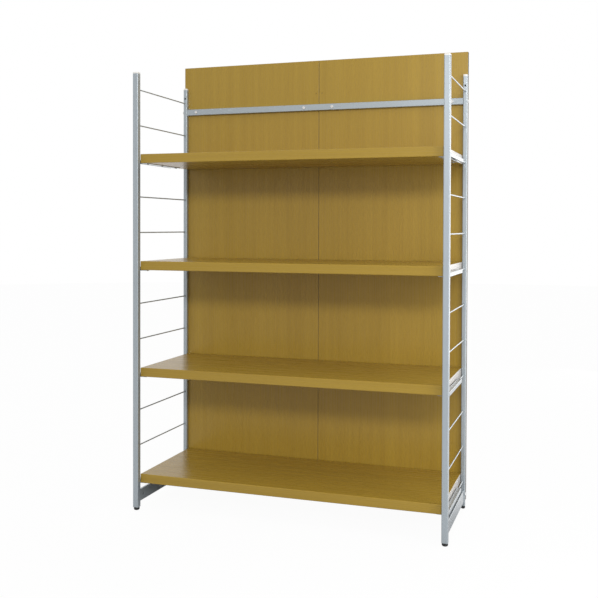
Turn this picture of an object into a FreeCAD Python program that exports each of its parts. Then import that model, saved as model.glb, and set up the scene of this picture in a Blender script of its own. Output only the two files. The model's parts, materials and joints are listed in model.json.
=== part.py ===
import FreeCAD, Part

import os
import re

import Sketcher

# Room divider shelving unit: two ladder side frames of square steel tube and thin rungs,
# four thick shelves that hang on the rungs by hook rails, two tall back panels on two
# crossbars, and four levelling feet.
#
# Frame: X runs along the width, Y from front to back, Z up. The origin is on the floor,
# in the middle of the width and of the depth.

# Driving sizes in millimetres: name, size, what it measures.
SIZES = (
    ("frame_spacing", 1180, "between the centre lines of the two side frames"),
    ("post_spacing", 424, "between the centre lines of the front and rear posts"),
    ("post_width", 22, "side of a front post's square tube"),
    ("rear_post_width", 16.5, "side of a rear post's square tube"),
    ("post_wall", 1.5, "wall of the posts' tubes"),
    ("post_corner", 3, "outer corner radius of the posts' tubes"),
    ("rung_pitch", 136, "from one rung to the next"),
    ("rung_diameter", 5, "rung rod"),
    ("rung_grip", 2, "how far a rung's end reaches in past the post's wall"),
    ("rung_clearance", 0.1, "between a rung and its hole, all round"),
    ("top_rung_drop", 58, "post's top down to the first rung"),
    ("bottom_rung_lift", 97, "post's bottom up to the last rung"),
    ("rail_height", 45, "flat bottom rail of a side frame"),
    ("rail_thickness", 10, "flat bottom rail of a side frame"),
    ("rail_wall", 1.5, "wall of the bottom rail"),
    ("rail_corner", 2, "outer corner radius of the bottom rail"),
    ("rail_lift", 16.5, "post's bottom up to the bottom rail"),
    ("rail_hole_diameter", 7, "round holes in the bottom rail"),
    ("rail_front_hole_inset", 30, "rail's front end to the hole in its inner wall"),
    ("rail_rear_hole_inset", 84, "rail's rear end to the hole in its outer wall"),
    ("cap_height", 6, "visible height of a post's end cap"),
    ("cap_round", 2, "rounding of the end cap's top"),
    ("cap_plug_length", 16, "part of the end cap inside the post"),
    ("plug_clearance", 0.1, "between a plug and the tube that it fills, all round"),
    ("insert_length", 20, "threaded insert in a post's bottom"),
    ("stud_diameter", 8, "stud of a levelling foot"),
    ("stud_clearance", 0.3, "between a stud and its insert, all round"),
    ("stud_show", 1.5, "stud visible between the foot's pad and the post"),
    ("stud_grip", 9, "stud left in the insert when the foot is screwed out"),
    ("foot_travel", 15, "how far a levelling foot screws out"),
    ("pad_diameter", 22, "pad of a front levelling foot"),
    ("rear_pad_diameter", 17, "pad of a rear levelling foot"),
    ("pad_height", 10, "pad of a levelling foot"),
    ("pad_round", 5, "rounding of the pad's lower edge"),
    ("pad_shoulder", 1.5, "rounding of the pad's upper edge"),
    ("pad_socket", 6, "depth of the pad's socket for the stud"),
    ("bar_height", 25, "crossbar tube"),
    ("bar_wall", 1.5, "wall of the crossbar tube"),
    ("bar_corner", 2, "outer corner radius of the crossbar tube"),
    ("upper_bar_drop", 96, "post's top down to the middle of the upper crossbar"),
    ("lower_bar_lift", 44.5, "post's bottom up to the middle of the lower crossbar"),
    ("bar_plug_length", 26, "threaded plug in each end of a crossbar"),
    ("bolt_diameter", 6, "bolt through a rear post into a crossbar"),
    ("bolt_clearance", 0.3, "between a bolt and the holes in the post, all round"),
    ("bolt_bite", 18, "length of a bolt inside the crossbar's plug"),
    ("bolt_head_diameter", 12.5, "dome head of a bolt"),
    ("bolt_head_height", 3.5, "dome head of a bolt"),
    ("bolt_recess_diameter", 4, "drive recess in a bolt's head"),
    ("bolt_recess_depth", 2, "drive recess in a bolt's head"),
    ("screw_margin", 16.25, "inner end of a crossbar's plug to the outermost panel screws"),
    ("screw_diameter", 4, "screw through a crossbar into a back panel"),
    ("screw_clearance", 0.3, "between a panel screw and the crossbar's holes, all round"),
    ("screw_bite", 14, "length of a panel screw inside the back panel"),
    ("screw_head_diameter", 11.5, "dome head of a panel screw"),
    ("screw_head_height", 3, "dome head of a panel screw"),
    ("screw_recess_diameter", 3, "drive recess in a panel screw's head"),
    ("screw_recess_depth", 1.6, "drive recess in a panel screw's head"),
    ("thread_clearance", 0.05, "between a screw and the pilot hole that it cuts, all round"),
    ("pilot_spare", 1, "pilot hole's depth past its screw's end"),
    ("panel_thickness", 18, "back panel"),
    ("panel_rise", 94, "post's top up to the back panels' top"),
    ("panel_lift", 18.5, "post's bottom up to the back panels' bottom"),
    ("panel_seam", 1, "gap between the two back panels"),
    ("panel_round", 0.8, "rounding of a back panel's edges"),
    ("fixing_hole_diameter", 7.5, "empty fixing hole near a rear post's top"),
    ("pilot_diameter", 3.5, "empty pilot hole in a back panel's top corners"),
    ("pilot_depth", 12, "depth of the pilot hole in the panel"),
    ("pilot_drop", 37.5, "post's top down to the fixing and pilot holes"),
    ("pilot_seam_inset", 12.5, "panel's edge at the seam to its pilot hole"),
    ("shelf_thickness", 34.5, "shelf board"),
    ("shelf_depth", 417.5, "shelf board from front to back"),
    ("shelf_gap", 1, "rear posts' inner faces to a shelf board's ends"),
    ("shelf_front_gap", 1, "front posts' rear faces back to the shelf's front edge"),
    ("shelf_round", 2.5, "rounding of the shelf's long edges"),
    ("shelf_corner", 2.5, "rounding of the shelf's upright corners"),
    ("shelf_drop", 7.5, "rung's centre down to the shelf's underside"),
    ("hook_length", 288, "hook rail along the rung"),
    ("hook_front_inset", 6, "shelf's front edge back to the hook rail"),
    ("hook_plate", 2, "steel of the hook rail"),
    ("hook_inner_clearance", 2, "between a rung and the hook's side towards the shelf"),
    ("hook_outer_clearance", 5.5, "between a rung and the hook's outer lip"),
    ("hook_seat_gap", 0.3, "between a rung's top and the hook that rests on it"),
    ("hook_flange_drop", 8.5, "rung's centre down to the hook's outer lip"),
    ("hook_bend", 1.5, "outside bend radius of the hook rail"),
    ("hook_lip_round", 6, "rounding of the outer lip's lower corners"),
    ("hook_overlap", 22.75, "how far the hook's foot reaches in under the shelf"),
    ("hook_screw_inset", 25, "hook rail's end to its first screw"),
    ("hook_screw_edge", 8, "inner edge of the hook's foot to its screws"),
    ("hook_screw_diameter", 4, "screw through the hook's foot into the shelf"),
    ("hook_screw_clearance", 0.3, "between a hook screw and the foot's hole, all round"),
    ("hook_screw_bite", 20, "length of a hook screw inside the shelf"),
    ("hook_screw_head_diameter", 8, "head of a hook screw"),
    ("hook_screw_head_height", 2.5, "head of a hook screw"),
    ("hook_screw_recess_diameter", 2.5, "drive recess in a hook screw's head"),
    ("hook_screw_recess_depth", 1.2, "drive recess in a hook screw's head"),
    ("overrun", 1, "how far a cut runs past the face that it opens"),
)

# Counts and shares, which have no unit.
COUNTS = (
    ("rung_count", 12, "rungs in one side frame"),
    ("rungs_per_shelf", 3, "a shelf hangs on every third rung"),
    ("hook_screw_count", 3, "screws in one hook rail"),
    ("crown_share", 0.45, "flat of a dome head, of the head's diameter"),
    ("rim_share", 0.3, "upright rim of a dome head, of the head's height"),
)

SHELF_NAMES = ("top", "upper", "lower", "bottom")
SIDES = (("left", -1), ("right", 1))

# Places of the main parts, worked out from the driving sizes.
SIDE_X = "(frame_spacing / 2)"
FRONT_Y = "(((post_width - rear_post_width) / 2 - post_spacing - panel_thickness) / 2)"
REAR_Y = f"({FRONT_Y} + post_spacing)"
MIDDLE_Y = "((post_width - rear_post_width - panel_thickness) / 2)"
POST_LENGTH = "(top_rung_drop + (rung_count - 1) * rung_pitch + bottom_rung_lift)"
POST_BOTTOM_Z = "(pad_height + stud_show)"
POST_TOP_Z = f"({POST_BOTTOM_Z} + {POST_LENGTH})"
POST_GAP = "(post_spacing - (post_width + rear_post_width) / 2)"
BAR_LENGTH = "(frame_spacing - rear_post_width)"
UPPER_BAR_Z = f"({POST_TOP_Z} - upper_bar_drop)"
LOWER_BAR_Z = f"({POST_BOTTOM_Z} + lower_bar_lift)"
PANEL_WIDTH = "((frame_spacing + rear_post_width - panel_seam) / 2)"
PANEL_X = f"(({PANEL_WIDTH} + panel_seam) / 2)"
SCREW_INSET = "(rear_post_width + bar_plug_length + screw_margin)"
SCREW_REACH = f"({PANEL_WIDTH} / 2 - {SCREW_INSET})"
PANEL_FRONT_Y = f"({REAR_Y} + rear_post_width / 2)"
PANEL_BOTTOM_Z = f"({POST_BOTTOM_Z} + panel_lift)"
PANEL_HEIGHT = f"({POST_TOP_Z} + panel_rise - {PANEL_BOTTOM_Z})"
SHELF_LENGTH = "(frame_spacing - rear_post_width - 2 * shelf_gap)"
SHELF_Y = f"({FRONT_Y} + post_width / 2 + shelf_front_gap + shelf_depth / 2)"
BORE_CORNER = "max(post_corner - post_wall - plug_clearance; post_wall / 4)"
HOOK_IN = "(rung_diameter / 2 + hook_inner_clearance)"
HOOK_OUT = "(rung_diameter / 2 + hook_outer_clearance)"
HOOK_FOOT = "(rear_post_width / 2 + shelf_gap + hook_overlap)"
HOOK_SCREW_X = f"({HOOK_FOOT} - hook_screw_edge)"
HOOK_SCREW_SPAN = "(hook_length - 2 * hook_screw_inset)"
HOOK_SHIFT = "(hook_front_inset + (hook_length - shelf_depth) / 2)"
HOOK_Y = f"({SHELF_Y} + {HOOK_SHIFT})"

doc = FreeCAD.newDocument("room_divider_shelving")
sheet = doc.addObject("Spreadsheet::Sheet", "sizes")
aliases = set()
subparts = []


def fill_sheet():
    """Writes the driving sizes, one to a row, each with its alias."""
    for row, (name, number, meaning) in enumerate(SIZES + COUNTS, start=1):
        sheet.set(f"A{row}", name)
        sheet.set(f"B{row}", str(number))
        sheet.set(f"C{row}", meaning)
        sheet.setAlias(f"B{row}", name)
        aliases.add(name)
    doc.recompute()


def formula(text):
    """The same formula with each size's name pointing at its cell in the sheet."""

    def cell(match):
        word = match.group(0)
        return f"sizes.{word}" if word in aliases else word

    return re.sub(r"[a-z][a-z_]*", cell, str(text))


def size(text):
    """A formula's present value in millimetres."""
    return float(sheet.evalExpression(formula(text)))


def bind(item, name, text):
    """Ties a property to a formula of the sheet."""
    item.setExpression(name, formula(text))


def new_body(label):
    """An empty sub-part, listed for export."""
    body = doc.addObject("PartDesign::Body", label)
    body.Label = label
    subparts.append(body)
    return body


def place(item, x, y, z, turn=0):
    """Turns a sub-part about the upright axis, then moves it to formulas x, y and z."""
    upright = FreeCAD.Vector(0, 0, 1)
    item.Placement = FreeCAD.Placement(FreeCAD.Vector(), FreeCAD.Rotation(upright, turn))
    bind(item, "Placement.Base.x", x)
    bind(item, "Placement.Base.y", y)
    bind(item, "Placement.Base.z", z)


def add_sketch(body, name, role, x="0", y="0", z="0"):
    """Sketch on a plane of the body's own origin, shifted by formulas in the plane's axes."""
    plane = next(item for item in body.Origin.OriginFeatures if item.Role == role)
    sketch = body.newObject("Sketcher::SketchObject", name)
    sketch.AttachmentSupport = [(plane, "")]
    sketch.MapMode = "FlatFace"
    bind(sketch, "AttachmentOffset.Base.x", x)
    bind(sketch, "AttachmentOffset.Base.y", y)
    bind(sketch, "AttachmentOffset.Base.z", z)
    return sketch


def hold(sketch, kind, item, point, text):
    """Holds a point's distance from the sketch's origin to a formula."""
    rule = sketch.addConstraint(Sketcher.Constraint(kind, -1, 1, item, point, size(text)))
    name = f"size{rule}"
    sketch.renameConstraint(rule, name)
    bind(sketch, f"Constraints.{name}", text)


def hold_radius(sketch, item, text):
    """Holds the radius of a circle or an arc to a formula."""
    rule = sketch.addConstraint(Sketcher.Constraint("Radius", item, size(text)))
    name = f"size{rule}"
    sketch.renameConstraint(rule, name)
    bind(sketch, f"Constraints.{name}", text)


def add_outline(sketch, corners):
    """Closed outline of straight lines through corners, each a pair of formulas."""
    points = [FreeCAD.Vector(size(x), size(y), 0) for x, y in corners]
    lines = []
    for start, end in zip(points, points[1:] + points[:1]):
        lines.append(sketch.addGeometry(Part.LineSegment(start, end)))
    for line, following in zip(lines, lines[1:] + lines[:1]):
        sketch.addConstraint(Sketcher.Constraint("Coincident", line, 2, following, 1))
    for line, (x, y) in zip(lines, corners):
        hold(sketch, "DistanceX", line, 1, x)
        hold(sketch, "DistanceY", line, 1, y)


def add_rounded_box(sketch, half_x, half_y, radius, x="0", y="0"):
    """Closed rectangle with round corners about the point x, y."""
    centre = FreeCAD.Vector(size(x), size(y), 0)
    quarters = ((1, 1), (-1, 1), (-1, -1), (1, -1))
    arcs = []
    ends = []
    for along, up in quarters:
        side_end = (f"{x} + {along} * {half_x}", f"{y} + {up} * ({half_y} - {radius})")
        flat_end = (f"{x} + {along} * ({half_x} - {radius})", f"{y} + {up} * {half_y}")
        reach_x = size(half_x) - size(radius)
        reach_y = size(half_y) - size(radius)
        corner = centre + FreeCAD.Vector(along * reach_x, up * reach_y, 0)
        middle = corner + FreeCAD.Vector(along, up, 0).normalize() * size(radius)
        first, last = (side_end, flat_end) if along * up > 0 else (flat_end, side_end)
        start = FreeCAD.Vector(size(first[0]), size(first[1]), 0)
        end = FreeCAD.Vector(size(last[0]), size(last[1]), 0)
        arcs.append(sketch.addGeometry(Part.Arc(start, middle, end)))
        ends.append((first, last))
    for arc, (first, last) in zip(arcs, ends):
        for point, (end_x, end_y) in ((1, first), (2, last)):
            hold(sketch, "DistanceX", arc, point, end_x)
            hold(sketch, "DistanceY", arc, point, end_y)
        hold_radius(sketch, arc, radius)
    for arc, following in zip(arcs, arcs[1:] + arcs[:1]):
        start = sketch.getPoint(arc, 2)
        end = sketch.getPoint(following, 1)
        line = sketch.addGeometry(Part.LineSegment(start, end))
        sketch.addConstraint(Sketcher.Constraint("Coincident", arc, 2, line, 1))
        sketch.addConstraint(Sketcher.Constraint("Coincident", line, 2, following, 1))


def add_circle(sketch, x, y, radius):
    """Circle about the point x, y."""
    centre = FreeCAD.Vector(size(x), size(y), 0)
    circle = sketch.addGeometry(Part.Circle(centre, FreeCAD.Vector(0, 0, 1), size(radius)))
    hold(sketch, "DistanceX", circle, 3, x)
    hold(sketch, "DistanceY", circle, 3, y)
    hold_radius(sketch, circle, radius)


def add_pad(body, name, sketch, length, symmetric=False, reverse=False):
    """Thickens a sketch along its normal, both ways, or against its normal."""
    pad = body.newObject("PartDesign::Pad", name)
    pad.Profile = sketch
    pad.SideType = "Symmetric" if symmetric else "One side"
    pad.Reversed = reverse
    bind(pad, "Length", length)
    body.Tip = pad
    doc.recompute()
    return pad


def add_pocket(body, name, sketch, length, symmetric=False, reverse=False):
    """Cuts a sketch against its normal, both ways, or along its normal."""
    pocket = body.newObject("PartDesign::Pocket", name)
    pocket.Profile = sketch
    pocket.SideType = "Symmetric" if symmetric else "One side"
    pocket.Reversed = reverse
    bind(pocket, "Length", length)
    body.Tip = pocket
    doc.recompute()
    return pocket


def add_row(body, name, features, sketch, axis, length, count):
    """Repeats features along an axis of a sketch, the last one at the given distance."""
    row = body.newObject("PartDesign::LinearPattern", name)
    row.Originals = features
    row.Direction = (sketch, [axis])
    bind(row, "Length", length)
    bind(row, "Occurrences", count)
    body.Tip = row
    doc.recompute()
    return row


def add_fillet(body, name, base, pieces, radius):
    """Rounds the named edges or faces of the feature before it."""
    fillet = body.newObject("PartDesign::Fillet", name)
    fillet.Base = (base, pieces)
    bind(fillet, "Radius", radius)
    body.Tip = fillet
    doc.recompute()
    return fillet


def edges_at(feature, *places):
    """Names of the edges whose middles lie nearest to places given as formulas."""
    edges = feature.Shape.Edges
    names = []
    for place_of_edge in places:
        target = FreeCAD.Vector(*(size(part) for part in place_of_edge))
        spans = [edge.CenterOfMass.distanceToPoint(target) for edge in edges]
        names.append(f"Edge{spans.index(min(spans)) + 1}")
    return names


def level_faces(feature, *directions):
    """Names of the flat faces that look straight up (1) or straight down (-1)."""
    names = []
    for number, face in enumerate(feature.Shape.Faces, start=1):
        if not isinstance(face.Surface, Part.Plane):
            continue
        upward = face.normalAt(0, 0).z
        if any(abs(upward - direction) < abs(direction) / 100 for direction in directions):
            names.append(f"Face{number}")
    return names


def add_fastener(body, name, role, origin, axis, outward, family, shank):
    """Dome-head screw on an axis of a shifted sketch, its head's seat at the sketch's origin."""
    sketch = add_sketch(body, f"{name}_profile", role, *origin)
    radius = f"({family}_diameter / 2)"
    head = f"({family}_head_diameter / 2)"
    height = f"{family}_head_height"
    recess = f"({family}_recess_diameter / 2)"
    floor = f"({height} - {family}_recess_depth)"
    steps = (
        (f"-({shank})", "0"),
        (f"-({shank})", radius),
        ("0", radius),
        ("0", head),
        (f"{height} * rim_share", head),
        (height, f"({head} * crown_share + {recess} * (1 - crown_share))"),
        (height, recess),
        (floor, recess),
        (floor, "0"),
    )
    if axis == "H_Axis":
        corners = [(f"{outward} * ({along})", across) for along, across in steps]
    else:
        corners = [(across, f"{outward} * ({along})") for along, across in steps]
    add_outline(sketch, corners)
    turned = body.newObject("PartDesign::Revolution", name)
    turned.Profile = sketch
    turned.ReferenceAxis = (sketch, [axis])
    turned.Angle = 360
    body.Tip = turned
    doc.recompute()
    return turned, sketch


def rung_z(shelf_number):
    """Height of the rung that a shelf hangs on, counted from the top shelf."""
    return f"({POST_TOP_Z} - top_rung_drop - ({shelf_number} * rungs_per_shelf - 1) * rung_pitch)"


def post_side(is_rear):
    """Name of the size that holds the side of a post's tube."""
    return "rear_post_width" if is_rear else "post_width"


def post_plug(is_rear):
    """Half the side of a plug that fills a post."""
    return f"({post_side(is_rear)} / 2 - post_wall - plug_clearance)"


def make_post(side, sign, is_rear):
    """Square tube with a row of rung holes in the wall that faces the other post."""
    body = new_body(f"{side}_{'rear' if is_rear else 'front'}_post")
    width = post_side(is_rear)
    half = f"({width} / 2)"
    bore = f"({width} / 2 - post_wall)"
    ring = add_sketch(body, "tube_section", "XY_Plane")
    add_rounded_box(ring, half, half, "post_corner")
    add_rounded_box(ring, bore, bore, "max(post_corner - post_wall; post_wall / 4)")
    add_pad(body, "tube", ring, POST_LENGTH)
    holes = add_sketch(body, "last_rung_hole_outline", "XZ_Plane")
    add_circle(holes, "0", "bottom_rung_lift", "(rung_diameter / 2 + rung_clearance)")
    first = add_pocket(body, "last_rung_hole", holes, f"{half} + overrun")
    add_row(body, "rung_holes", [first], holes, "V_Axis", "(rung_count - 1) * rung_pitch", "rung_count")
    if is_rear:
        fixing = add_sketch(body, "fixing_hole_outline", "XZ_Plane")
        add_circle(fixing, "0", f"{POST_LENGTH} - pilot_drop", "fixing_hole_diameter / 2")
        add_pocket(body, "fixing_hole", fixing, f"{width} + 2 * overrun", symmetric=True)
        bolts = add_sketch(body, "bolt_hole_outlines", "YZ_Plane")
        for height in (f"{POST_LENGTH} - upper_bar_drop", "lower_bar_lift"):
            add_circle(bolts, "0", height, "(bolt_diameter / 2 + bolt_clearance)")
        add_pocket(body, "bolt_holes", bolts, f"{width} + 2 * overrun", symmetric=True)
    y = REAR_Y if is_rear else FRONT_Y
    place(body, f"{sign} * {SIDE_X}", y, POST_BOTTOM_Z, turn=180 if is_rear else 0)


def make_rungs(side, sign):
    """Thin round rods, one group to a side frame, their ends inside the posts."""
    body = new_body(f"{side}_rungs")
    outline = add_sketch(body, "last_rung_section", "XZ_Plane")
    add_circle(outline, "0", "0", "rung_diameter / 2")
    length = f"{POST_GAP} + 2 * (post_wall + rung_grip)"
    rod = add_pad(body, "last_rung", outline, length, symmetric=True)
    add_row(body, "rungs", [rod], outline, "V_Axis", "(rung_count - 1) * rung_pitch", "rung_count")
    place(body, f"{sign} * {SIDE_X}", MIDDLE_Y, f"{POST_BOTTOM_Z} + bottom_rung_lift")


def make_bottom_rail(side, sign):
    """Flat tube between the feet of the posts, with one hole in each wall."""
    body = new_body(f"{side}_bottom_rail")
    section = add_sketch(body, "rail_section", "XZ_Plane")
    add_rounded_box(section, "(rail_thickness / 2)", "(rail_height / 2)", "rail_corner")
    corner = "max(rail_corner - rail_wall; rail_wall / 4)"
    add_rounded_box(section, "(rail_thickness / 2 - rail_wall)", "(rail_height / 2 - rail_wall)", corner)
    add_pad(body, "rail", section, POST_GAP, symmetric=True)
    depth = "rail_thickness / 2 + overrun"
    inner = add_sketch(body, "inner_hole_outline", "YZ_Plane")
    add_circle(inner, f"-{POST_GAP} / 2 + rail_front_hole_inset", "0", "rail_hole_diameter / 2")
    add_pocket(body, "inner_hole", inner, depth, reverse=sign < 0)
    outer = add_sketch(body, "outer_hole_outline", "YZ_Plane")
    add_circle(outer, f"{POST_GAP} / 2 - rail_rear_hole_inset", "0", "rail_hole_diameter / 2")
    add_pocket(body, "outer_hole", outer, depth, reverse=sign > 0)
    place(body, f"{sign} * {SIDE_X}", MIDDLE_Y, f"{POST_BOTTOM_Z} + rail_lift + rail_height / 2")


def make_post_cap(name, x, y, is_rear):
    """End cap: a cover as wide as the post and a plug that fills its bore."""
    body = new_body(f"{name}_post_cap")
    cover = add_sketch(body, "cover_outline", "XY_Plane")
    half = f"({post_side(is_rear)} / 2)"
    add_rounded_box(cover, half, half, "post_corner")
    lid = add_pad(body, "cover", cover, "cap_height")
    add_fillet(body, "cover_rounding", lid, level_faces(lid, 1), "cap_round")
    plug = add_sketch(body, "plug_outline", "XY_Plane")
    add_rounded_box(plug, post_plug(is_rear), post_plug(is_rear), BORE_CORNER)
    add_pad(body, "plug", plug, "cap_plug_length", reverse=True)
    place(body, x, y, POST_TOP_Z)


def make_foot(name, x, y, is_rear):
    """Levelling foot: an insert in the post, a stud and a pad that stands on the floor."""
    insert = new_body(f"{name}_foot_insert")
    block = add_sketch(insert, "insert_outline", "XY_Plane")
    add_rounded_box(block, post_plug(is_rear), post_plug(is_rear), BORE_CORNER)
    add_circle(block, "0", "0", "(stud_diameter / 2 + stud_clearance)")
    add_pad(insert, "insert", block, "insert_length")
    place(insert, x, y, POST_BOTTOM_Z)

    stud = doc.addObject("Part::Cylinder", f"{name}_foot_stud")
    stud.Label = f"{name}_foot_stud"
    bind(stud, "Radius", "stud_diameter / 2")
    bind(stud, "Height", "pad_socket + stud_show + foot_travel + stud_grip")
    place(stud, x, y, "pad_height - pad_socket")
    subparts.append(stud)

    pad = new_body(f"{name}_foot_pad")
    disc = add_sketch(pad, "pad_outline", "XY_Plane")
    add_circle(disc, "0", "0", f"{'rear_pad' if is_rear else 'pad'}_diameter / 2")
    puck = add_pad(pad, "puck", disc, "pad_height")
    lower = add_fillet(pad, "lower_rounding", puck, level_faces(puck, -1), "pad_round")
    add_fillet(pad, "upper_rounding", lower, level_faces(lower, 1), "pad_shoulder")
    socket = add_sketch(pad, "socket_outline", "XY_Plane", z="pad_height")
    add_circle(socket, "0", "0", "stud_diameter / 2")
    add_pocket(pad, "socket", socket, "pad_socket")
    place(pad, x, y, "0")


def make_crossbar(level, height):
    """Tube between the rear posts, with two screw holes for each back panel."""
    body = new_body(f"{level}_crossbar")
    section = add_sketch(body, "bar_section", "YZ_Plane")
    add_rounded_box(section, "(rear_post_width / 2)", "(bar_height / 2)", "bar_corner")
    bore_corner = "max(bar_corner - bar_wall; bar_wall / 4)"
    add_rounded_box(section, "(rear_post_width / 2 - bar_wall)", "(bar_height / 2 - bar_wall)", bore_corner)
    add_pad(body, "bar", section, BAR_LENGTH, symmetric=True)
    holes = add_sketch(body, "screw_hole_outlines", "XZ_Plane")
    for panel in (-1, 1):
        for end in (-1, 1):
            x = f"{panel} * {PANEL_X} + {end} * {SCREW_REACH}"
            add_circle(holes, x, "0", "(screw_diameter / 2 + screw_clearance)")
    add_pocket(body, "screw_holes", holes, "rear_post_width + 2 * overrun", symmetric=True)
    place(body, "0", REAR_Y, height)


def make_bar_plugs():
    """Threaded plugs in the four ends of the crossbars."""
    body = new_body("crossbar_end_plugs")
    half_depth = "(rear_post_width / 2 - bar_wall - plug_clearance)"
    half_height = "(bar_height / 2 - bar_wall - plug_clearance)"
    corner = "max(bar_corner - bar_wall - plug_clearance; bar_wall / 4)"
    for side, sign in SIDES:
        outlines = add_sketch(body, f"{side}_plug_outlines", "YZ_Plane", z=f"{sign} * {BAR_LENGTH} / 2")
        for height in (UPPER_BAR_Z, LOWER_BAR_Z):
            add_rounded_box(outlines, half_depth, half_height, corner, y=height)
            add_circle(outlines, "0", height, "(bolt_diameter / 2 + thread_clearance)")
        add_pad(body, f"{side}_plugs", outlines, "bar_plug_length", reverse=sign > 0)
    place(body, "0", REAR_Y, "0")


def make_bar_bolts():
    """Dome-head bolts through the rear posts into the crossbars' plugs."""
    body = new_body("crossbar_bolts")
    for side, sign in SIDES:
        for level, height in (("upper", UPPER_BAR_Z), ("lower", LOWER_BAR_Z)):
            origin = (f"{sign} * (frame_spacing + rear_post_width) / 2", height, "0")
            add_fastener(body, f"{side}_{level}_bolt", "XZ_Plane", origin, "H_Axis", sign,
                         "bolt", "rear_post_width + bolt_bite")
    place(body, "0", REAR_Y, "0")


def make_panel(side, sign):
    """Tall back board with pilot holes for its screws and two empty ones near its top."""
    body = new_body(f"{side}_back_panel")
    half = f"({PANEL_WIDTH} / 2)"
    face = add_sketch(body, "panel_outline", "XZ_Plane")
    add_outline(face, ((f"-{half}", "0"), (half, "0"), (half, PANEL_HEIGHT), (f"-{half}", PANEL_HEIGHT)))
    board = add_pad(body, "board", face, "panel_thickness", reverse=True)
    every_edge = [f"Edge{number}" for number in range(1, len(board.Shape.Edges) + 1)]
    add_fillet(body, "edge_rounding", board, every_edge, "panel_round")
    screws = add_sketch(body, "screw_pilot_outlines", "XZ_Plane")
    for height in (UPPER_BAR_Z, LOWER_BAR_Z):
        for end in (-1, 1):
            add_circle(screws, f"{end} * {SCREW_REACH}", f"{height} - {PANEL_BOTTOM_Z}",
                       "(screw_diameter / 2 + thread_clearance)")
    add_pocket(body, "screw_pilots", screws, "screw_bite + pilot_spare")
    corners = add_sketch(body, "corner_pilot_outlines", "XZ_Plane")
    seam_x = f"{-sign} * ({half} - pilot_seam_inset)"
    post_x = f"{sign} * ({half} - rear_post_width / 2)"
    for x in (seam_x, post_x):
        add_circle(corners, x, f"{POST_TOP_Z} - pilot_drop - {PANEL_BOTTOM_Z}", "pilot_diameter / 2")
    add_pocket(body, "corner_pilots", corners, "pilot_depth")
    place(body, f"{sign} * {PANEL_X}", PANEL_FRONT_Y, PANEL_BOTTOM_Z)


def make_panel_screws():
    """Dome-head screws through both crossbars into the back panels."""
    body = new_body("panel_screws")
    turned = []
    outline = None
    for level, height in (("upper", UPPER_BAR_Z), ("lower", LOWER_BAR_Z)):
        for end, name in ((-1, "outer"), (1, "inner")):
            origin = ("0", height, f"-{PANEL_X} + {end} * {SCREW_REACH}")
            screw, outline = add_fastener(body, f"{level}_{name}_screw", "YZ_Plane", origin, "H_Axis", -1,
                                          "screw", "rear_post_width + screw_bite")
            turned.append(screw)
    add_row(body, "right_panel_screws", turned, outline, "N_Axis", f"2 * {PANEL_X}", "2")
    place(body, "0", f"{REAR_Y} - rear_post_width / 2", "0")


def make_shelf(name, number):
    """Thick board with round edges and pilot holes for its hook rails' screws."""
    body = new_body(f"{name}_shelf")
    outline = add_sketch(body, "shelf_outline", "XY_Plane")
    add_rounded_box(outline, f"({SHELF_LENGTH} / 2)", "(shelf_depth / 2)", "shelf_corner")
    board = add_pad(body, "board", outline, "shelf_thickness")
    add_fillet(body, "edge_rounding", board, level_faces(board, 1, -1), "shelf_round")
    pilots = add_sketch(body, "pilot_outlines", "XY_Plane")
    for side, sign in SIDES:
        add_circle(pilots, f"{sign} * ({SIDE_X} - {HOOK_SCREW_X})", f"{HOOK_SHIFT} - {HOOK_SCREW_SPAN} / 2",
                   "(hook_screw_diameter / 2 + thread_clearance)")
    first = add_pocket(body, "first_pilots", pilots, "hook_screw_bite + pilot_spare", reverse=True)
    add_row(body, "pilots", [first], pilots, "V_Axis", HOOK_SCREW_SPAN, "hook_screw_count")
    place(body, "0", SHELF_Y, f"{rung_z(number)} - shelf_drop")


def make_hook_rail(name, number, side, sign):
    """Bent steel rail: it hooks over a rung and its foot is screwed under the shelf."""
    body = new_body(f"{name}_shelf_{side}_hook_rail")
    shelf_side = f"({HOOK_IN} + hook_plate)"
    lip_side = f"({HOOK_OUT} + hook_plate)"
    seat = "(rung_diameter / 2 + hook_seat_gap)"
    top = f"({seat} + hook_plate)"
    section = add_sketch(body, "rail_section", "XZ_Plane")
    add_outline(section, (
        (f"-{lip_side}", "-hook_flange_drop"),
        (f"-{lip_side}", top),
        (shelf_side, top),
        (shelf_side, "-shelf_drop"),
        (HOOK_FOOT, "-shelf_drop"),
        (HOOK_FOOT, "-shelf_drop - hook_plate"),
        (HOOK_IN, "-shelf_drop - hook_plate"),
        (HOOK_IN, seat),
        (f"-{HOOK_OUT}", seat),
        (f"-{HOOK_OUT}", "-hook_flange_drop"),
    ))
    rail = add_pad(body, "rail", section, "hook_length", symmetric=True)
    bends = edges_at(
        rail,
        (f"-{lip_side}", "0", top),
        (shelf_side, "0", top),
        (HOOK_IN, "0", "-shelf_drop - hook_plate"),
    )
    bent = add_fillet(body, "bends", rail, bends, "hook_bend")
    lip_x = f"-({lip_side} + {HOOK_OUT}) / 2"
    corners = edges_at(
        bent,
        (lip_x, "-hook_length / 2", "-hook_flange_drop"),
        (lip_x, "hook_length / 2", "-hook_flange_drop"),
    )
    add_fillet(body, "lip_corners", bent, corners, "hook_lip_round")
    holes = add_sketch(body, "screw_hole_outline", "XY_Plane")
    hole_radius = "(hook_screw_diameter / 2 + hook_screw_clearance)"
    add_circle(holes, HOOK_SCREW_X, f"-{HOOK_SCREW_SPAN} / 2", hole_radius)
    first = add_pocket(body, "first_screw_hole", holes, "shelf_drop + hook_plate + overrun")
    add_row(body, "screw_holes", [first], holes, "V_Axis", HOOK_SCREW_SPAN, "hook_screw_count")
    place(body, f"{sign} * {SIDE_X}", HOOK_Y, rung_z(number), turn=180 if sign > 0 else 0)


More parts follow.
